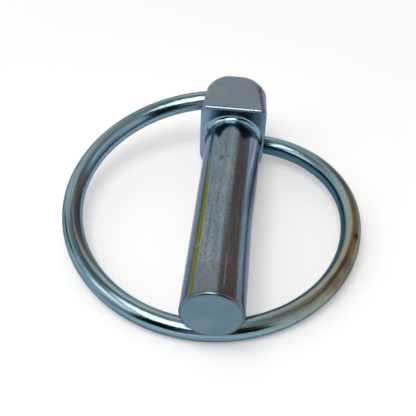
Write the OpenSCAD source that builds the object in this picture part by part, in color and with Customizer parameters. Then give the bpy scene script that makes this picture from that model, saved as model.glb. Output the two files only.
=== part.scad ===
// Linch pin: a forged pin whose head carries a sprung wire ring that snaps shut round the tip.
// It is modelled as it comes to rest on a table, lying on the ring's front and the head's far edge.

/* [Shank] */
// Diameter of the shank
shank_d = 10; // [7:0.5:13]
// Length of the shank from its tip to the shoulder of the head
shank_len = 43.5; // [38:0.5:48]
// Chamfer round the tip
tip_chamfer = 0.5; // [0.2:0.1:1.5]
// Fillet between the shank and the shoulder
shoulder_fillet = 0.8; // [0.3:0.1:1]

/* [Head] */
// Width of the head, from side to side
head_w = 12.5; // [11.5:0.5:16]
// Height of the head
head_h = 14.8; // [13.5:0.2:18]
// Length of the head along the pin
head_len = 12; // [9:0.5:15]
// Radius of the two upper long edges
head_top_r = 1.8; // [0.5:0.1:2.5]
// Radius of the two lower long edges
head_bottom_r = 4; // [0.5:0.1:5]
// Radius of the far corners, seen from above
head_corner_r = 5; // [1:0.1:5.5]
// Radius of the far end's upper and lower edges
head_end_r = 1.2; // [0.5:0.1:2.5]

/* [Ring] */
// Diameter of the spring wire
wire_d = 3.6; // [2.5:0.1:4]
// Radius of the ring at the middle of its wire
ring_r = 25.2; // [23:0.2:28]
// Distance that the ring's centre lies to the left of the shank
ring_shift = 2.2; // [0:0.1:3]
// Slope of the ring's left half, from its front up to the head
left_slope = 10.5; // [8:0.1:13]
// Slope of the ring's right half
right_slope = 5.7; // [3:0.1:8]
// Length by which the ring's ends are drawn in from a full circle
ring_draw_in = 4; // [2:0.1:6]
// Gap between the closed ring and the shank
ring_gap = 0.87; // [0.3:0.01:1.2]

/* [Holes] */
// Height of the left hole above the pin's axis, and of the right hole below it
hole_rise = 3.8; // [2.5:0.1:4.2]
// Distance of the holes from the middle of the head, along the pin
hole_stagger = 1.4; // [0:0.1:2]
// Play between the wire and its hole, at the radius
hole_play = 0.1; // [0.05:0.01:0.3]
// Length of wire inside each hole
wire_in_hole = 5.5; // [3:0.5:7]
// Space left between the wire's end and the bottom of its hole
hole_spare = 0.5; // [0.2:0.1:1]

/* [Hidden] */
$fn = 96;

shank_r = shank_d / 2;
wire_r = wire_d / 2;
hole_r = wire_r + hole_play;

// Each half of the ring is one arc of this turn from the front, then a second arc into its hole
main_turn = 95;

// Length of the shank's root inside the head, and how far a cut runs past what it cuts
head_root = 2;
over = 1;

// Each stretch of wire is let into the one before it, and is thinner than it by a hair at the radius
let_in = 0.3;
seam = 0.01;
wire_sides = 32;

// The pin's own frame has X to the right, Y from the tip to the head and Z up, with the tip at 0
head_mid = shank_len + head_len / 2;
pin_len = shank_len + head_len;
ring_front_y = head_mid - 2 * ring_r + ring_draw_in;
ring_front_z = -(shank_r + ring_gap + wire_r);
ring_front = [-ring_shift, ring_front_y, ring_front_z];

// Pitch at which the ring's front and the rounded lower edge of the head's far end touch the table
rest_run = pin_len - head_end_r - ring_front_y;
rest_drop = ring_front_z + head_h / 2 - head_end_r;
rest_pitch = asin((wire_r - head_end_r) / norm([rest_run, rest_drop])) - atan2(rest_drop, rest_run);
rest_lift = wire_r + ring_front_y * sin(rest_pitch) - ring_front_z * cos(rest_pitch);

// Extent of the resting pin along Y, from the tip's lower edge to the head's far end
rest_back = pin_len * cos(rest_pitch) + (head_h / 2 - head_end_r) * sin(rest_pitch)
    + head_end_r * (1 - cos(rest_pitch));
rest_front = -(shank_r - tip_chamfer) * sin(rest_pitch);
rest_mid = (rest_back + rest_front) / 2;

// One half of the ring: side is -1 on the left and 1 on the right
function half_slope(side) = side < 0 ? left_slope : right_slope;
function half_back(side) = [0, cos(half_slope(side)), sin(half_slope(side))];
function half_side(side) = [side, 0, 0];
function mouth(side) = [side * head_w / 2, head_mid - side * hole_stagger, -side * hole_rise];

// Angle that a length of arc takes up at a radius
function arc_turn(length, r) = length / r * 180 / PI;

// Where the main arc ends, and the way it is heading there
function arc_end(side) = ring_front + half_back(side) * ring_r * (1 - cos(main_turn))
    + half_side(side) * ring_r * sin(main_turn);
function arc_way(side) = half_back(side) * sin(main_turn) + half_side(side) * cos(main_turn);

// The second arc leaves the main arc without a kink and reaches the mouth of the hole
function ahead(side) = (mouth(side) - arc_end(side)) * arc_way(side);
function aside(side) = mouth(side) - arc_end(side) - arc_way(side) * ahead(side);
function inward(side) = aside(side) / norm(aside(side));
function end_turn(side) = 2 * atan2(norm(aside(side)), ahead(side));
function end_r(side) = ahead(side) / sin(end_turn(side));
function hole_way(side) = arc_way(side) * cos(end_turn(side)) + inward(side) * sin(end_turn(side));
function hole_side(side) = inward(side) * cos(end_turn(side)) - arc_way(side) * sin(end_turn(side));

// Moves a shape to a point, with its X and Y axes turned to the two given directions
module place(point, x_way, y_way) {
    z_way = cross(x_way, y_way);
    multmatrix([
        [x_way[0], y_way[0], z_way[0], point[0]],
        [x_way[1], y_way[1], z_way[1], point[1]],
        [x_way[2], y_way[2], z_way[2], point[2]],
        [0, 0, 0, 1]
    ]) children();
}

// Lays the part on the table, with the middle of its footprint at the origin
module at_rest() {
    translate([ring_shift, -rest_mid, rest_lift]) rotate([-rest_pitch, 0, 0]) children();
}

// Rectangle whose near corners, at low Y, and far corners have their own radii
module round_rect(w, h, near_r, far_r) {
    translate([-w / 2 + near_r, -h / 2]) square([w - 2 * near_r, h / 2]);
    translate([-w / 2 + far_r, 0]) square([w - 2 * far_r, h / 2]);
    translate([-w / 2, -h / 2 + near_r]) square([w, h - near_r - far_r]);
    for (side = [-1, 1]) {
        translate([side * (w / 2 - near_r), -h / 2 + near_r]) circle(r = near_r);
        translate([side * (w / 2 - far_r), h / 2 - far_r]) circle(r = far_r);
    }
}

// Plan of one view of the head: square at the shoulder, with rounded corners at the far end
module far_rounded(w, r) {
    translate([-w / 2, 0]) square([w, head_len - r]);
    translate([-w / 2 + r, 0]) square([w - 2 * r, head_len]);
    for (side = [-1, 1])
        translate([side * (w / 2 - r), head_len - r]) circle(r = r);
}

// Forged head: its section along the pin, cut to its outline from above and from the side
module head() {
    intersection() {
        translate([0, pin_len, 0]) rotate([90, 0, 0]) linear_extrude(head_len)
            round_rect(head_w, head_h, head_bottom_r, head_top_r);
        translate([0, shank_len, -head_h / 2]) linear_extrude(head_h)
            far_rounded(head_w, head_corner_r);
        translate([-head_w / 2, shank_len, 0]) rotate([0, 90, 0]) linear_extrude(head_w)
            far_rounded(head_h, head_end_r);
    }
}

// Round shank with a chamfered tip, turned about the pin's axis. Its fillet runs on into the head.
module shank() {
    fillet_y = shank_len - shoulder_fillet;
    root_r = shank_r + shoulder_fillet;
    rotate([-90, 0, 0]) rotate_extrude() {
        difference() {
            square([root_r, shank_len + head_root]);
            translate([shank_r, -over]) square([shoulder_fillet + over, fillet_y + over]);
            translate([root_r, fillet_y]) circle(r = shoulder_fillet);
            polygon([[shank_r - tip_chamfer, 0], [shank_r + over, -over], [shank_r + over, tip_chamfer + over]]);
        }
    }
}

module pin() {
    color("lightslategray") at_rest() difference() {
        union() {
            shank();
            head();
        }
        for (side = [-1, 1]) {
            place(mouth(side), hole_side(side), cross(hole_way(side), hole_side(side)))
                translate([0, 0, -wire_r]) cylinder(r = hole_r, h = wire_r + wire_in_hole + hole_spare);
        }
    }
}

// Arc of wire about Z: it starts at plus X and turns towards plus Y
module wire_arc(r, thick_r, from_turn, to_turn) {
    rotate([0, 0, from_turn]) rotate_extrude(angle = to_turn - from_turn)
        translate([r, 0]) circle(r = thick_r, $fn = wire_sides);
}

// Half of the ring, from its front to the end of the wire in its hole
module half_ring(side, thick_r, start) {
    place(ring_front + half_back(side) * ring_r, -half_back(side), half_side(side))
        wire_arc(ring_r, thick_r, -arc_turn(start, ring_r), main_turn);
    place(arc_end(side) + inward(side) * end_r(side), -inward(side), arc_way(side))
        wire_arc(end_r(side), thick_r - seam, -arc_turn(let_in, end_r(side)), end_turn(side));
    place(mouth(side), hole_side(side), cross(hole_way(side), hole_side(side)))
        translate([0, 0, -let_in])
            cylinder(r = thick_r - 2 * seam, h = let_in + wire_in_hole, $fn = wire_sides);
}

module ring() {
    color("lightsteelblue") at_rest() {
        half_ring(-1, wire_r, 0);
        half_ring(1, wire_r - seam, let_in);
    }
}

pin();
ring();
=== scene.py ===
from math import asin, atan2, cos, hypot, pi, radians, sin, sqrt

import bpy
import numpy as np
from mathutils import Matrix, Vector


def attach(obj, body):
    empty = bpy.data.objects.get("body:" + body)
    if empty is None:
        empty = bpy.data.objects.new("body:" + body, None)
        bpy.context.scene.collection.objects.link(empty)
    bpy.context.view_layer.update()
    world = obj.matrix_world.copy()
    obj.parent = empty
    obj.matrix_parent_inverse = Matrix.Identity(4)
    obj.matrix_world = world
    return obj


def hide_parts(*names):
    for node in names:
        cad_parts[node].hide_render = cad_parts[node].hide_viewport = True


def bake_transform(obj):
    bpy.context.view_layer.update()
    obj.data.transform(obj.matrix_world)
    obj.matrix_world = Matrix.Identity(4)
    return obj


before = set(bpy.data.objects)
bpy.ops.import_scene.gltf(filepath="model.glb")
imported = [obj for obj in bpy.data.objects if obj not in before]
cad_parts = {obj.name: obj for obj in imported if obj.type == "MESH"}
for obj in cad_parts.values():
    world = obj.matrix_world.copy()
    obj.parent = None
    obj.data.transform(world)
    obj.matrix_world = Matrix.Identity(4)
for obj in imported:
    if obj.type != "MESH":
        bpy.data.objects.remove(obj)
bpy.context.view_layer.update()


# Pin: shank and head in one steel forging. The shank is round bar with its tip's rim broken,
# and the head is pressed to a loaf with a flat shoulder. Blue zinc plate covers it all.
mm_in_m = 1000
shank_r, shank_len, tip_r, fillet_r = 5.0, 43.5, 0.5, 1.0
swell_r, swell_turn, swell_start, swell_run = 0.6, radians(-20), 17, 20
head_w, head_h, head_len = 12.5, 14.8, 12.0
head_bottom_r, head_corner_r, head_end_r, head_far_top_r = 4.4, 4.4, 1.2, 1.55
head_top_r, head_top_left_far_r, head_top_right_far_r = 1.2, 2.4, 3.4
head_lean, head_drift, head_rise, head_sag = 0.45, 0.12, 0.34, 0.35
rim_r, rim_top_more_r = 0.32, 0.38
pin_len = shank_len + head_len

# The part lies on the ring's front and on the head's far edge, so the pin is pitched a little
wire_r, ring_r, ring_gap, ring_shift, ring_draw_in = 1.8, 25.2, 0.87, 2.2, 4.0
head_mid = shank_len + head_len / 2
ring_front = np.array([-ring_shift, head_mid - 2 * ring_r + ring_draw_in, -(shank_r + ring_gap + wire_r)])
run = pin_len - head_end_r - ring_front[1]
drop = ring_front[2] + head_h / 2 - head_end_r
pitch = asin((wire_r - head_end_r) / hypot(run, drop)) - atan2(drop, run)
lift = wire_r + ring_front[1] * sin(pitch) - ring_front[2] * cos(pitch)
reach_back = pin_len * cos(pitch) + (head_h / 2 - head_end_r) * sin(pitch) + head_end_r * (1 - cos(pitch))
reach_front = -(shank_r - tip_r) * sin(pitch)
middle = (reach_back + reach_front) / 2
rest_turn = np.array([[1, 0, 0], [0, cos(pitch), sin(pitch)], [0, -sin(pitch), cos(pitch)]])
rest_move = np.array([ring_shift, -middle, lift])


def at_rest(points):
    """Points of the pin's own frame, in mm from the middle of the tip, as metres in the lying part's."""
    return (np.asarray(points, float) @ rest_turn.T + rest_move) / mm_in_m


# Sections across the pin: each has the same number of points round it
points_round = 256
turn = np.arange(points_round) * 2 * pi / points_round
round_x, round_z = np.cos(turn), np.sin(turn)


def outline_distance(x, z, half_w, top, bottom, top_r, bottom_r):
    """Signed distance to a rectangle whose upper and lower corners have their own radii."""
    upper = z >= 0
    r = np.where(upper, top_r, bottom_r)
    qx = np.abs(x) - half_w + r
    qz = np.where(upper, z - top, -z - bottom) + r
    return np.minimum(np.maximum(qx, qz), 0) + np.hypot(np.maximum(qx, 0), np.maximum(qz, 0)) - r


def fallen_back(s, r):
    """How far a far edge of radius r has rounded off at length s along the pin."""
    past = max(0.0, s - (pin_len - r))
    return r - sqrt(max(0.0, r**2 - past**2))


def head_section(s, inset=0.0):
    """Section of the head at length s along the pin, as x and z of its points."""
    lean = max(0.0, s - shank_len) / head_len
    half_w = head_w / 2 - head_lean * lean - fallen_back(s, head_corner_r)
    top = head_h / 2 + head_rise * lean - fallen_back(s, head_far_top_r)
    bottom = head_h / 2 + head_sag * (1 - lean) ** 2 - fallen_back(s, head_end_r)
    least_flat, well_outside, halvings = 0.01, 1.6, 40
    largest_r = half_w - least_flat
    far_r = np.where(round_x > 0, head_top_right_far_r, head_top_left_far_r)
    top_r = np.minimum(head_top_r + (far_r - head_top_r) * lean, largest_r)
    bottom_r = min(head_bottom_r, largest_r)
    way_x, way_z = half_w * round_x, head_h / 2 * round_z
    inner, outer = np.zeros(points_round), np.full(points_round, well_outside)
    for _ in range(halvings):
        share = (inner + outer) / 2
        off = outline_distance(share * way_x, share * way_z, half_w, top, bottom, top_r, bottom_r)
        inner, outer = np.where(off < -inset, share, inner), np.where(off < -inset, outer, share)
    return inner * way_x + head_drift * lean, inner * way_z


def circle_section(r):
    return r * round_x, r * round_z


# The rim between shoulder and head is sharp at the sides and softer along the top
rim_upper = np.clip((round_z - 0.45) / 0.4, 0, 1)
rim_edge_r = rim_r + rim_top_more_r * rim_upper
rim_x, rim_z = head_section(shank_len, rim_edge_r)


def eased(share):
    """Soft rise from 0 to 1."""
    share = np.clip(share, 0, 1)
    return share * share * (3 - 2 * share)


def bar_section(s, r):
    """Section of the shank, which swells at its lower right where the forging runs into the head."""
    facing = np.maximum(0, round_x * cos(swell_turn) + round_z * sin(swell_turn))
    swell = swell_r * eased((s - swell_start) / swell_run) * facing**3
    inside_rim = 0.985 * np.hypot(rim_x, rim_z)
    return circle_section(np.minimum(r + swell, inside_rim))


def row(s, section):
    x, z = section
    return np.column_stack([x, np.broadcast_to(s, points_round), z])


def quarter_turn(count):
    return np.linspace(0, pi / 2, count)[1:]


# Rows of points from the tip's middle, along the shank and over the shoulder, to the head's far end
rows = [row(0, circle_section(r)) for r in np.linspace(0.4, shank_r - tip_r, 14)]
for a in quarter_turn(8):
    rows.append(row(tip_r * (1 - cos(a)), circle_section(shank_r - tip_r + tip_r * sin(a))))
rows += [row(s, bar_section(s, shank_r)) for s in np.linspace(tip_r, shank_len - fillet_r, 90)[1:]]
for a in quarter_turn(12):
    fillet_section = bar_section(shank_len, shank_r + fillet_r * (1 - cos(a)))
    rows.append(row(shank_len - fillet_r + fillet_r * sin(a), fillet_section))
root_x, root_z = bar_section(shank_len, shank_r + fillet_r)
for t in np.linspace(0, 1, 14)[1:]:
    rows.append(row(shank_len, (root_x + t * (rim_x - root_x), root_z + t * (rim_z - root_z))))
for a in quarter_turn(10):
    rows.append(row(shank_len + rim_edge_r * (1 - cos(a)), head_section(shank_len, rim_edge_r * (1 - sin(a)))))
side_lengths = np.linspace(shank_len + max(rim_edge_r), pin_len - head_corner_r, 20)[1:]
far_lengths = [pin_len - head_corner_r + head_corner_r * sin(a) for a in quarter_turn(48)[:-1]]
rows += [row(s, head_section(s)) for s in (*side_lengths, *far_lengths)]
end_x, end_z = head_section(pin_len)
rows += [row(pin_len, (t * end_x, t * end_z)) for t in np.linspace(1, 0.08, 12)]


def skin(name, rows, start_middle, end_middle):
    """Closed mesh through rows of points, with a point in the middle of each end."""
    count = len(rows[0])
    verts = at_rest(np.vstack(rows))
    k = np.arange(count)
    after = (k + 1) % count
    faces = []
    for j in range(len(rows) - 1):
        a, b = j * count, (j + 1) * count
        faces += np.column_stack([a + k, a + after, b + after, b + k]).tolist()
    start, end = len(verts), len(verts) + 1
    verts = np.vstack([verts, at_rest([start_middle, end_middle])])
    last = (len(rows) - 1) * count
    faces += [(start, int(after[i]), int(i)) for i in k]
    faces += [(end, last + int(i), last + int(after[i])) for i in k]
    mesh = bpy.data.meshes.new(name)
    mesh.from_pydata(verts.tolist(), [], faces)
    mesh.validate()
    mesh.shade_smooth()
    piece = bpy.data.objects.new(name, mesh)
    bpy.context.scene.collection.objects.link(piece)
    return piece


pin = skin("pin_forging", rows, [0, 0, 0], [0, pin_len, 0])

# The ring's halves leave its front on two slopes, and a second arc takes each into its hole
left_slope, right_slope, main_turn = radians(10.5), radians(5.7), radians(95)
hole_rise, hole_stagger, hole_play, wire_in_hole, hole_spare = 3.8, 1.4, 0.1, 5.5, 0.5


def half_ring(side):
    """Path of half the wire from the ring's front to its end in the head, and its hole's mouth and way."""
    slope = left_slope if side < 0 else right_slope
    back, out = np.array([0, cos(slope), sin(slope)]), np.array([side, 0, 0])
    mouth = np.array([side * head_w / 2, head_mid - side * hole_stagger, -side * hole_rise])
    turns = np.linspace(0, main_turn, 130)[:, None]
    main = ring_front + back * ring_r * (1 - np.cos(turns)) + out * ring_r * np.sin(turns)
    way = back * sin(main_turn) + out * cos(main_turn)
    ahead = (mouth - main[-1]) @ way
    aside = mouth - main[-1] - way * ahead
    inward = aside / np.linalg.norm(aside)
    end_turn = 2 * atan2(np.linalg.norm(aside), ahead)
    end_r = ahead / sin(end_turn)
    turns = np.linspace(0, end_turn, 70)[1:, None]
    end = main[-1] + way * end_r * np.sin(turns) + inward * end_r * (1 - np.cos(turns))
    hole_way = way * cos(end_turn) + inward * sin(end_turn)
    stub = mouth + hole_way * np.linspace(0, wire_in_hole, 16)[1:, None]
    return np.vstack([main, end, stub]), mouth, hole_way


# The two blind holes are drilled in the sides of the head, the left one high and the right one low
for side in (-1, 1):
    mouth, hole_way = half_ring(side)[1:]
    hole_depth = wire_in_hole + hole_spare
    bpy.ops.mesh.primitive_cylinder_add(vertices=96, radius=(wire_r + hole_play) / mm_in_m,
                                        depth=(wire_r + hole_depth) / mm_in_m)
    drill = bpy.context.object
    drill_middle = at_rest(mouth + hole_way * (hole_depth - wire_r) / 2)
    drill.matrix_world = (Matrix.Translation(Vector(drill_middle))
                          @ Vector(rest_turn @ hole_way).to_track_quat("Z", "Y").to_matrix().to_4x4())
    cut = pin.modifiers.new("hole", "BOOLEAN")
    cut.operation, cut.solver, cut.object = "DIFFERENCE", "EXACT", drill
    bpy.context.view_layer.update()
    drilled = bpy.data.meshes.new_from_object(pin.evaluated_get(bpy.context.evaluated_depsgraph_get()))
    pin.modifiers.clear()
    pin.data = drilled
    bpy.data.objects.remove(drill)
pin.data.shade_smooth()
pin.data.set_sharp_from_angle(angle=radians(32))

# Zinc plate, which pin and ring share: a cool grey metal that drifts to lilac and straw in patches,
# with a fine speckle in its brightness and its gloss, streaks from drawing, and small dark pits
zinc_plate = bpy.data.node_groups.new("zinc_plate", "ShaderNodeTree")
for name, kind, value in (
    ("Place", "NodeSocketVector", (0, 0, 0)),
    ("Drawn", "NodeSocketVector", (0, 0, 0)),
    ("Plate", "NodeSocketColor", (0.25, 0.32, 0.35, 1)),
    ("Lilac", "NodeSocketColor", (0.29, 0.28, 0.35, 1)),
    ("Straw", "NodeSocketColor", (0.30, 0.30, 0.22, 1)),
    ("Drift", "NodeSocketFloat", 0.5),
    ("Speckle", "NodeSocketFloat", 0.12),
    ("Streaks", "NodeSocketFloat", 0.15),
    ("Pits", "NodeSocketFloat", 0.6),
    ("Gloss", "NodeSocketFloat", 0.28),
):
    socket = zinc_plate.interface.new_socket(name, in_out="INPUT", socket_type=kind)
    socket.default_value = value
for name, kind in (("Color", "NodeSocketColor"), ("Roughness", "NodeSocketFloat"), ("Height", "NodeSocketFloat")):
    zinc_plate.interface.new_socket(name, in_out="OUTPUT", socket_type=kind)


def add(tree, kind, links=(), **settings):
    """Adds a node, sets its properties, and fills its inputs from (input, value or output socket) pairs."""
    node = tree.nodes.new(kind)
    for name, value in settings.items():
        setattr(node, name, value)
    for name, value in links:
        if isinstance(value, bpy.types.NodeSocket):
            tree.links.new(value, node.inputs[name])
        else:
            node.inputs[name].default_value = value
    return node


def mix_colour(tree, share, a, b):
    return add(tree, "ShaderNodeMix", [(0, share), (6, a), (7, b)], data_type="RGBA").outputs[2]


def ramp(tree, value, low, high, to_low=0.0, to_high=1.0):
    """Soft change from one value at low to another at high."""
    return add(tree, "ShaderNodeMapRange", [
        ("Value", value), ("From Min", low), ("From Max", high), ("To Min", to_low), ("To Max", to_high),
    ], interpolation_type="SMOOTHSTEP").outputs[0]


def maths(tree, operation, *values):
    return add(tree, "ShaderNodeMath", list(enumerate(values)), operation=operation).outputs[0]


def times(tree, first, *others):
    for other in others:
        first = maths(tree, "MULTIPLY", first, other)
    return first


def noise(tree, place, scale, detail, roughness=0.5):
    return add(tree, "ShaderNodeTexNoise", [
        ("Vector", place), ("Scale", scale), ("Detail", detail), ("Roughness", roughness)]).outputs["Fac"]


g = zinc_plate
given = g.nodes.new("NodeGroupInput").outputs
lilac_patches = noise(g, given["Place"], 0.16, 3.0, 0.55)
straw_patches = noise(g, given["Place"], 0.23, 2.0)
lilac_share = times(g, ramp(g, lilac_patches, 0.47, 0.66), given["Drift"])
straw_share = times(g, ramp(g, straw_patches, 0.54, 0.72), given["Drift"])
tinted = mix_colour(g, straw_share, mix_colour(g, lilac_share, given["Plate"], given["Lilac"]), given["Straw"])
grain = noise(g, given["Place"], 2.4, 4.0, 0.7)
grain_swing = ramp(g, grain, 0.3, 0.7, -1.0, 1.0)
lines = noise(g, given["Drawn"], 1.0, 4.0, 0.6)
drawn = times(g, ramp(g, lines, 0.3, 0.7, -1.0, 1.0), given["Streaks"])
bright = maths(g, "ADD", maths(g, "MULTIPLY_ADD", grain_swing, given["Speckle"], 1.0), drawn)
speckled = add(g, "ShaderNodeVectorMath", [(0, tinted), ("Scale", bright)], operation="SCALE").outputs[0]
specks = noise(g, given["Place"], 3.6, 2.0, 0.6)
pitted = times(g, ramp(g, specks, 0.50, 0.70), ramp(g, straw_patches, 0.25, 0.60, 0.3, 1.0), given["Pits"])
worn = mix_colour(g, pitted, speckled, (0.045, 0.04, 0.038, 1))
rough = maths(g, "MULTIPLY_ADD", pitted, 0.25, maths(g, "MULTIPLY_ADD", grain_swing, -0.04, given["Gloss"]))
height = maths(g, "ADD", grain, drawn)
add(g, "NodeGroupOutput", [("Color", worn), ("Roughness", rough), ("Height", height)])


def plated(name, edge_tint):
    """A new metal material: its node tree, its shader and the zinc plate placed in it."""
    material = bpy.data.materials.new(name)
    material.use_nodes = True
    tree = material.node_tree
    shader = tree.nodes["Principled BSDF"]
    shader.inputs["Metallic"].default_value = 1.0
    shader.inputs["Specular Tint"].default_value = edge_tint
    plate = add(tree, "ShaderNodeGroup", node_tree=zinc_plate)
    tree.links.new(plate.outputs["Roughness"], shader.inputs["Roughness"])
    return material, tree, shader, plate


def between(tree, value, start, full, last, gone):
    """Mask that rises from start to full, and falls from last to gone."""
    return times(tree, ramp(tree, value, start, full), ramp(tree, value, last, gone, 1.0, 0.0))


def off_from(tree, value, middle):
    return maths(tree, "ABSOLUTE", maths(tree, "SUBTRACT", value, middle))


def finish_with(tree, shader, plate, bump_strength, layers):
    """Lays colours over the plate, each through its mask and the first one lowest, and adds its grain."""
    finish = plate.outputs["Color"]
    for mask, colour in layers:
        finish = mix_colour(tree, mask, finish, (*colour, 1))
    tree.links.new(finish, shader.inputs["Base Color"])
    bump = add(tree, "ShaderNodeBump", [("Height", plate.outputs["Height"]), ("Distance", 0.00005),
                                        ("Strength", bump_strength)])
    tree.links.new(bump.outputs[0], shader.inputs["Normal"])


# Pin's finish: satin plate, placed in mm from the middle of the tip
pin_zinc, tree, shader, plate = plated("pin_zinc", (0.62, 0.65, 0.74, 1))
in_mm = (mm_in_m, mm_in_m, mm_in_m)
place = add(tree, "ShaderNodeMapping", [
    ("Vector", add(tree, "ShaderNodeTexCoord").outputs["Object"]), ("Scale", in_mm),
    ("Location", tuple(-rest_move))]).outputs[0]
pin_place = add(tree, "ShaderNodeMapping", [("Vector", place), ("Rotation", (pitch, 0, 0))]).outputs[0]
along = add(tree, "ShaderNodeSeparateXYZ", [("Vector", pin_place)]).outputs
across, from_tip, up = along["X"], along["Y"], along["Z"]
tree.links.new(pin_place, plate.inputs["Place"])
along_bar = add(tree, "ShaderNodeVectorMath", [(0, pin_place), (1, (1.9, 0.06, 1.9))], operation="MULTIPLY")
tree.links.new(along_bar.outputs[0], plate.inputs["Drawn"])
on_bar = between(tree, from_tip, 0.25, 0.6, shank_len - 0.5, shank_len + 0.3)
for name, off_bar, more in (("Speckle", 0.03, 0.10), ("Streaks", 0.0, 0.18), ("Pits", 0.15, 0.6)):
    tree.links.new(maths(tree, "MULTIPLY_ADD", on_bar, more, off_bar), plate.inputs[name])
bar_gloss = ramp(tree, from_tip, 34.0, 41.0, -0.11, -0.16)
tree.links.new(maths(tree, "MULTIPLY_ADD", on_bar, bar_gloss, 0.24), plate.inputs["Gloss"])
plate.inputs["Plate"].default_value = (0.135, 0.235, 0.305, 1)
plate.inputs["Drift"].default_value = 0.16
wander = noise(tree, pin_place, 0.25, 2.0)
dots = noise(tree, pin_place, 1.1, 2.0)
round_bar = maths(tree, "ARCTAN2", across, up)

# Painted reflection: a yellow streak along the shank, standing in for something yellow beside the part. It is
# broken once and narrower towards the tip
streak_turn, streak_width, streak_break = radians(-42.5), radians(8), 10.6
off_streak = maths(tree, "MULTIPLY_ADD", wander, 0.06, maths(tree, "SUBTRACT", round_bar, streak_turn + 0.03))
off_streak = times(tree, maths(tree, "ABSOLUTE", off_streak), ramp(tree, from_tip, 0.0, 14.0, 1.35, 1.0))
yellow_reflection = times(tree, ramp(tree, off_streak, 0.6 * streak_width, 0.95 * streak_width, 1.0, 0.0),
               between(tree, from_tip, 0.4, 0.7, 22.0, 40.0),
               ramp(tree, off_from(tree, from_tip, streak_break), 0.1, 0.3))

# Painted highlights: a bright line near the tip, and two pale lines near the head; the left one is a painted
# reflection of the ring
tip_highlight_turn = radians(16.5)
tip_highlight = times(tree, ramp(tree, off_from(tree, round_bar, tip_highlight_turn), radians(0.4), radians(1.8), 0.85, 0.0),
                between(tree, from_tip, 1.0, 1.8, 5.0, 11.0), ramp(tree, dots, 0.28, 0.46))


def slanting_line(turn, per_mm, s):
    """Turn round the shank of a line that passes a turn at length s and slants by degrees per mm."""
    return maths(tree, "MULTIPLY_ADD", from_tip, radians(per_mm), radians(turn - per_mm * s))


def highlight_line(line, reach, share):
    """Mask of a thin painted highlight line, from full at its middle to nothing at its reach in degrees."""
    return times(tree, ramp(tree, off_from(tree, round_bar, line), radians(0.4), radians(reach), share, 0.0),
                 between(tree, from_tip, 28.0, 34.0, 40.8, 42.2))


left_line, right_line = slanting_line(-46.4, -0.7, 32.6), slanting_line(60.0, 1.2, 37.8)


# Two rust specks on top of the shank, and grime in the grain by the tip
def from_point(point):
    return add(tree, "ShaderNodeVectorMath", [(0, pin_place), (1, point)], operation="DISTANCE").outputs["Value"]


from_rust = maths(tree, "MULTIPLY_ADD", dots, -1.6, from_point((-1.25, 31.75, 4.84)))
rust = ramp(tree, from_rust, -0.6, 0.0, 0.75, 0.0)
rust_dot = ramp(tree, from_point((-0.15, 32.1, 5.0)), 0.15, 0.5, 0.5, 0.0)
in_grain = ramp(tree, plate.outputs["Height"], 0.40, 0.60)
grime = times(tree, ramp(tree, from_tip, 0.5, 9.0, 0.55, 0.0), in_grain, on_bar)

# Lilac flanks on the shank, and a painted reflection beyond the right highlight line: the right flank painted
# dark blue
lilac_flanks = times(tree, ramp(tree, maths(tree, "ABSOLUTE", round_bar), radians(50), radians(66)),
                     ramp(tree, from_tip, 22.0, 38.0, 0.05, 0.7), on_bar)
past_line = maths(tree, "SUBTRACT", round_bar, right_line)
dark_flank_reflection = times(tree, ramp(tree, past_line, radians(1), radians(11), 0.0, 0.8),
                   ramp(tree, round_bar, radians(105), radians(130), 1.0, 0.0),
                   ramp(tree, from_tip, 16.0, 27.0), on_bar)

# Cut end and its brown rim at the tip, and the head's fillet, shoulder, right side and clouded top; the fillet's
# top is a painted highlight and the shoulder's sides a painted reflection
from_axis = maths(tree, "SQRT", maths(tree, "ADD", maths(tree, "POWER", across, 2.0),
                                      maths(tree, "POWER", up, 2.0)))
# Painted shade in part: the cut end is darker, partly as a duller cut face and partly standing in for the darker
# floor it mirrors
cut_end = times(tree, ramp(tree, from_tip, 0.1, 0.3, 1.0, 0.0), ramp(tree, wander, 0.35, 0.65, 0.9, 0.35))
tip_rim = times(tree, ramp(tree, from_axis, 4.35, 4.8), ramp(tree, from_tip, 0.3, 0.9, 1.0, 0.0),
                ramp(tree, wander, 0.35, 0.6, 0.25, 0.8))
fillet_start, root_r = shank_len - fillet_r, shank_r + fillet_r
# Painted highlight: the top of the fillet, brighter and bluer than the plate
fillet_highlight = times(tree, ramp(tree, from_tip, fillet_start, fillet_start + 0.3),
               ramp(tree, from_axis, root_r - 0.05, root_r + 0.1, 0.9, 0.0), ramp(tree, up, 1.0, 4.0))
# Painted reflection: the shoulder's sides, brighter and bluer, as if they mirrored a lit floor
shoulder = times(tree, ramp(tree, from_tip, shank_len - 0.5, shank_len),
                 ramp(tree, maths(tree, "ABSOLUTE", across), 2.6, 4.6), ramp(tree, up, 6.3, 7.0, 0.75, 0.0))
head_right = times(tree, ramp(tree, from_tip, shank_len + 0.1, shank_len + 1.1),
                   ramp(tree, across, 4.1, 5.3, 0.0, 0.8))
head_cloud = times(tree, ramp(tree, up, 6.6, 7.2), ramp(tree, wander, 0.42, 0.62, 0.0, 0.32))

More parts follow.
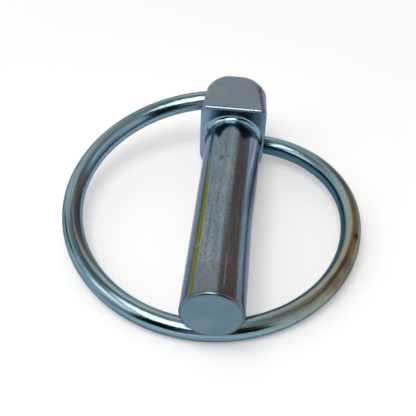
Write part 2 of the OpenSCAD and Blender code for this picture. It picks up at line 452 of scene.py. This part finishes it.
finish_with(tree, shader, plate, maths(tree, "MULTIPLY_ADD", on_bar, 0.22, 0.05), (
    (yellow_reflection, (0.145, 0.155, 0.0)),
    (tip_highlight, (0.42, 0.72, 0.86)),
    (highlight_line(left_line, 1.6, 0.8), (0.33, 0.58, 0.70)),
    (highlight_line(right_line, 2.2, 0.75), (0.80, 0.72, 0.90)),
    (rust, (0.052, 0.054, 0.05)),
    (rust_dot, (0.09, 0.072, 0.055)),
    (lilac_flanks, (0.25, 0.20, 0.28)),
    (dark_flank_reflection, (0.03, 0.065, 0.09)),
    (grime, (0.095, 0.08, 0.07)),
    (cut_end, (0.112, 0.19, 0.245)),
    (head_right, (0.18, 0.225, 0.34)),
    (shoulder, (0.175, 0.31, 0.41)),
    (head_cloud, (0.20, 0.185, 0.215)),
    (fillet_highlight, (0.24, 0.41, 0.52)),
    (tip_rim, (0.10, 0.075, 0.065)),
))
pin.data.materials.clear()
pin.data.materials.append(pin_zinc)
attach(pin, "pin")
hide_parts("pin")


# Ring: one length of drawn spring wire, bent nearly to a circle. Its two ends sit in the head's
# holes, one high and one low, so it snaps shut under the shank when it swings.
wire_points = 48
left_path, right_path = half_ring(-1)[0], half_ring(1)[0]
centre = np.vstack([left_path[::-1], right_path[1:]])
step = np.linalg.norm(np.diff(centre, axis=0), axis=1)
length_at = np.concatenate([[0], np.cumsum(step)])
way = np.gradient(centre, length_at, axis=0)
way /= np.linalg.norm(way, axis=1)[:, None]
side_way = np.cross(way[0], [0, 0, 1])
side_way /= np.linalg.norm(side_way)
wire_rows = []
turns = np.arange(wire_points) * 2 * pi / wire_points
for p, t in zip(centre, way):
    side_way = side_way - t * (side_way @ t)
    side_way /= np.linalg.norm(side_way)
    over_way = np.cross(t, side_way)
    wire_rows.append(p + wire_r * (np.cos(turns)[:, None] * side_way + np.sin(turns)[:, None] * over_way))
ring = skin("ring_wire", wire_rows, centre[0], centre[-1])

# Lengths in mm along the wire and turns round it, for the marks on it: streaks that drawing leaves, stains, and
# painted reflections and shade
wire_uv = ring.data.uv_layers.new(name="wire")
quads = (len(wire_rows) - 1) * wire_points
uv = np.zeros((len(ring.data.loops), 2))
for polygon in ring.data.polygons:
    for c, corner in enumerate(polygon.loop_indices):
        vertex = ring.data.loops[corner].vertex_index
        j, k = divmod(vertex, wire_points)
        if polygon.index < quads and c in (1, 2) and k == 0:
            k = wire_points
        if polygon.index >= quads:
            j, k = min(j, len(wire_rows) - 1), k % wire_points
        uv[corner] = length_at[j], k / wire_points
wire_uv.data.foreach_set("uv", uv.ravel().astype(np.float32))

# Ring's finish: bright plate with long streaks from the drawing die
ring_zinc, tree, shader, plate = plated("ring_zinc", (0.32, 0.38, 0.40, 1))
place = add(tree, "ShaderNodeMapping", [("Vector", add(tree, "ShaderNodeTexCoord").outputs["Object"]),
                                        ("Scale", in_mm)]).outputs[0]
tree.links.new(place, plate.inputs["Place"])
plate.inputs["Plate"].default_value = (0.176, 0.302, 0.380, 1)
wire_place = add(tree, "ShaderNodeUVMap", uv_map="wire").outputs[0]
wire_way = add(tree, "ShaderNodeSeparateXYZ", [("Vector", wire_place)]).outputs
u, v = wire_way["X"], wire_way["Y"]
round_wire = times(tree, v, 2 * pi)
streaks_along, streaks_round = 0.05, 5.5
along_wire = add(tree, "ShaderNodeCombineXYZ", [
    ("X", times(tree, u, streaks_along)),
    ("Y", times(tree, maths(tree, "COSINE", round_wire), streaks_round)),
    ("Z", times(tree, maths(tree, "SINE", round_wire), streaks_round))]).outputs[0]
tree.links.new(along_wire, plate.inputs["Drawn"])
plate.inputs["Streaks"].default_value = 0.5
plate.inputs["Drift"].default_value = 0.12
lengths = noise(tree, along_wire, 2.0, 3.0)
patches = noise(tree, place, 0.45, 3.0)

# Khaki passivation on the ring's right side, duller and more pitted, with gold lengths and brown in it
right = between(tree, u, 85.0, 108.0, 114.0, 136.0)
for name, elsewhere, more in (("Gloss", 0.09, 0.13), ("Speckle", 0.05, 0.12), ("Pits", 0.25, 0.25)):
    tree.links.new(maths(tree, "MULTIPLY_ADD", right, more, elsewhere), plate.inputs[name])
khaki = times(tree, right, between(tree, v, 0.57, 0.67, 0.89, 0.99))
low_right = times(tree, khaki, ramp(tree, u, 114.0, 122.0, 1.0, 0.25))
gold = times(tree, low_right, ramp(tree, lengths, 0.38, 0.66, 0.0, 0.7))
brown = times(tree, low_right, ramp(tree, patches, 0.52, 0.72, 0.0, 0.35), ramp(tree, v, 0.68, 0.74))
# Painted shade: the wire's inner, lower side on the ring's right, darkened to teal
inner_side_shade = times(tree, between(tree, v, 0.22, 0.34, 0.51, 0.57), ramp(tree, u, 100.0, 118.0, 0.0, 0.75))


def stain(at_u, at_v, reach, share):
    """Mask of a ragged spot, nearly half as long again as it is wide. Its reach is in mm."""
    ahead = maths(tree, "POWER", times(tree, maths(tree, "SUBTRACT", u, at_u), 0.7), 2.0)
    aside = maths(tree, "POWER", times(tree, maths(tree, "SUBTRACT", v, at_v), 2 * pi * wire_r), 2.0)
    away = maths(tree, "ADD", maths(tree, "SQRT", maths(tree, "ADD", ahead, aside)), 0.6)
    ragged = maths(tree, "MULTIPLY_ADD", patches, -1.2, away)
    return ramp(tree, ragged, 0.2 * reach, reach, share, 0.0)


def band(at_v, reach, near, far, share):
    """Mask of a broken band along the wire, from near to far in mm. Its reach is in turns."""
    return times(tree, ramp(tree, off_from(tree, v, at_v), 0.3 * reach, reach, share, 0.0),
                 between(tree, u, near - 2, near + 2, far - 2, far + 2), ramp(tree, lengths, 0.3, 0.5))


# Dark line along the wire's top, on the ring's left and finer on its right
line_v = maths(tree, "SUBTRACT", ramp(tree, u, 66.0, 90.0, 0.687, 0.734), ramp(tree, u, 99.0, 109.0, 0.0, 0.042))
off_line = off_from(tree, v, maths(tree, "MULTIPLY_ADD", patches, 0.03, line_v))
off_line = times(tree, off_line, ramp(tree, u, 66.0, 92.0, 1.7, 1.0))
line_ends = maths(tree, "MAXIMUM", between(tree, u, 42.0, 47.0, 62.0, 68.0),
                  between(tree, u, 86.0, 102.0, 108.0, 118.0))
dark_top_line = times(tree, line_ends, ramp(tree, off_line, 0.010, 0.036, 0.8, 0.0))

finish_with(tree, shader, plate, 0.22, (
    (times(tree, khaki, 0.9), (0.285, 0.335, 0.225)),
    (gold, (0.27, 0.225, 0.11)),
    (brown, (0.10, 0.075, 0.065)),
    (stain(115.8, 0.778, 0.9, 0.85), (0.05, 0.035, 0.03)),
    (stain(109.0, 0.795, 2.2, 0.8), (0.13, 0.10, 0.115)),
    (stain(104.8, 0.785, 2.2, 0.8), (0.15, 0.105, 0.085)),
    (inner_side_shade, (0.055, 0.155, 0.21)),
    # Painted reflections on the ring's left: a dark green band along its outer top, and a pale blue-grey band
    # lower down that is a painted highlight
    (band(0.805, 0.026, 46.0, 55.0, 0.75), (0.05, 0.10, 0.05)),
    (band(0.612, 0.040, 47.0, 60.0, 0.6), (0.26, 0.275, 0.19)),
    (band(0.535, 0.040, 34.0, 60.0, 0.6), (0.30, 0.40, 0.45)),
    (dark_top_line, (0.07, 0.073, 0.085)),
))
ring.data.materials.append(ring_zinc)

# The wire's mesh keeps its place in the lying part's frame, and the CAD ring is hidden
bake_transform(ring)
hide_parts("ring")


# Floor: a wide pale board that the part lies on. It shows white to the camera and in the metal,
# more so away from the part, and keeps the part's soft shadow.
floor_r, near_part, far_off, white_near, white_far = 4.0, 0.07, 0.30, 0.21, 0.75
bpy.ops.mesh.primitive_circle_add(vertices=96, radius=floor_r, fill_type="NGON")
floor = bpy.context.object
floor.name = "floor"
floor_white = bpy.data.materials.new("floor_white")
floor_white.use_nodes = True
tree = floor_white.node_tree
shader = tree.nodes["Principled BSDF"]
shader.inputs["Base Color"].default_value = (0.69, 0.785, 0.865, 1)
shader.inputs["Roughness"].default_value = 0.9
shader.inputs["Specular IOR Level"].default_value = 0.0
shader.inputs["Emission Color"].default_value = (1, 1, 1, 1)
seen = add(tree, "ShaderNodeLightPath").outputs
shown = maths(tree, "ADD", maths(tree, "ADD", seen["Is Camera Ray"], seen["Is Glossy Ray"]),
              seen["Is Transmission Ray"])
floor_place = add(tree, "ShaderNodeTexCoord").outputs["Object"]
from_part = add(tree, "ShaderNodeVectorMath", [(0, floor_place)], operation="LENGTH").outputs["Value"]
white = times(tree, shown, ramp(tree, from_part, near_part, far_off, white_near, white_far))
tree.links.new(white, shader.inputs["Emission Strength"])
floor.data.materials.append(floor_white)


# Studio: a soft tent of light, brighter behind the part, with a warm screen behind it on the right
# and dark stands beside the camera. One long soft box hangs high on the left, one above the camera.
world = bpy.data.worlds.new("studio")
bpy.context.scene.world = world
world.use_nodes = True
tree = world.node_tree
sky = add(tree, "ShaderNodeTexCoord").outputs["Generated"]
height_angle = maths(tree, "ARCSINE", add(tree, "ShaderNodeSeparateXYZ", [("Vector", sky)]).outputs["Z"])


def heading(azimuth, elevation):
    """Unit vector: azimuth 0 is behind the part and 90 to its right, elevation is up from the floor."""
    a, e = radians(azimuth), radians(elevation)
    return Vector((sin(a) * cos(e), cos(a) * cos(e), sin(e)))


def tent_panel(before, azimuth, elevation, wide, high, edge, colour):
    """Lays a soft-edged panel over the tent's colour. Wide and high are half its size, in degrees."""
    ahead, aside = (add(tree, "ShaderNodeVectorMath", [(0, sky), (1, heading(azimuth + turn, 0))],
                        operation="DOT_PRODUCT").outputs["Value"] for turn in (0, 90))
    off_side = maths(tree, "ABSOLUTE", maths(tree, "ARCTAN2", aside, ahead))
    off_height = off_from(tree, height_angle, radians(elevation))
    share = times(tree, ramp(tree, off_side, radians(wide), radians(wide + edge), 1.0, 0.0),
                  ramp(tree, off_height, radians(high), radians(high + edge), 1.0, 0.0))
    return mix_colour(tree, share, before, (*colour, 1))


tent = (0.50, 0.46, 0.41, 1)
for panel in (
    (0, 15, 180, 36, 12, (0.82, 0.75, 0.72)),  # wall all round
    (-18, 28, 32, 22, 12, (1.16, 0.962, 0.85)),  # bright back
    (-124, 37, 15, 11, 12, (2.3, 2.0, 1.85)),  # lit panel at the front left
    (43, 22, 19, 21, 12, (0.46, 0.262, 0.20)),  # warm screen at the back right
    (36, 48, 21, 5, 8, (0.46, 0.262, 0.20)),  # its upper part, further left
    (-77, 12, 8, 9, 6, (0.32, 0.38, 0.23)),  # low green screen on the left
    (178, 22, 14, 20, 6, (0.50, 0.43, 0.38)),  # dim front
    (176, 42, 15, 7, 5, (0.03, 0.03, 0.03)),  # dark strip over the front
    (150, 33, 12, 29, 5, (0.03, 0.014, 0.012)),  # dark stand on the camera's right
    (-153, 32, 13, 26, 5, (0.012, 0.012, 0.012)),  # dark stand on its left
    (0, 0, 180, 2.6, 2, (1.0, 0.99, 0.98)),  # white foot of the wall, where the floor ends
):
    tent = tent_panel(tent, *panel)
tree.links.new(tent, tree.nodes["Background"].inputs["Color"])


def soft_box(name, azimuth, elevation, distance, width, height, spin, power):
    lamp = bpy.data.lights.new(name, "AREA")
    lamp.shape, lamp.size, lamp.size_y, lamp.energy = "RECTANGLE", width, height, power
    lamp.color = (1.0, 0.86, 0.75)
    box = bpy.data.objects.new(name, lamp)
    place = heading(azimuth, elevation) * distance
    turn = (-place).to_track_quat("-Z", "Y").to_matrix().to_4x4() @ Matrix.Rotation(radians(spin), 4, "Z")
    box.matrix_world = Matrix.Translation(place) @ turn
    bpy.context.scene.collection.objects.link(box)


soft_box("soft_box_left", -134, 67, 0.30, 0.079, 0.183, -134, 0.30)
soft_box("soft_box_front", -176, 68, 0.30, 0.075, 0.185, 0, 0.28)


# Camera: a short telephoto lens in front of the tip and about 45 degrees up, where the photograph
# was taken from. It is turned a little about its own axis.
aim = Vector((-0.001147, 0.004334, 0))
camera = bpy.data.objects.new("camera", bpy.data.cameras.new("camera"))
camera.data.lens, camera.data.sensor_width = 57.482, 36
camera_way, camera_height, camera_far, camera_roll = radians(3.833), radians(44.702), 0.127232, radians(2.389)
camera.matrix_world = (Matrix.Translation(aim) @ Matrix.Rotation(camera_way, 4, "Z")
                       @ Matrix.Rotation(pi / 2 - camera_height, 4, "X") @ Matrix.Rotation(camera_roll, 4, "Z")
                       @ Matrix.Translation((0, 0, camera_far)))
camera.data.clip_start = 0.001
bpy.context.scene.collection.objects.link(camera)
bpy.context.scene.camera = camera
bpy.context.scene.view_settings.view_transform = "Standard"
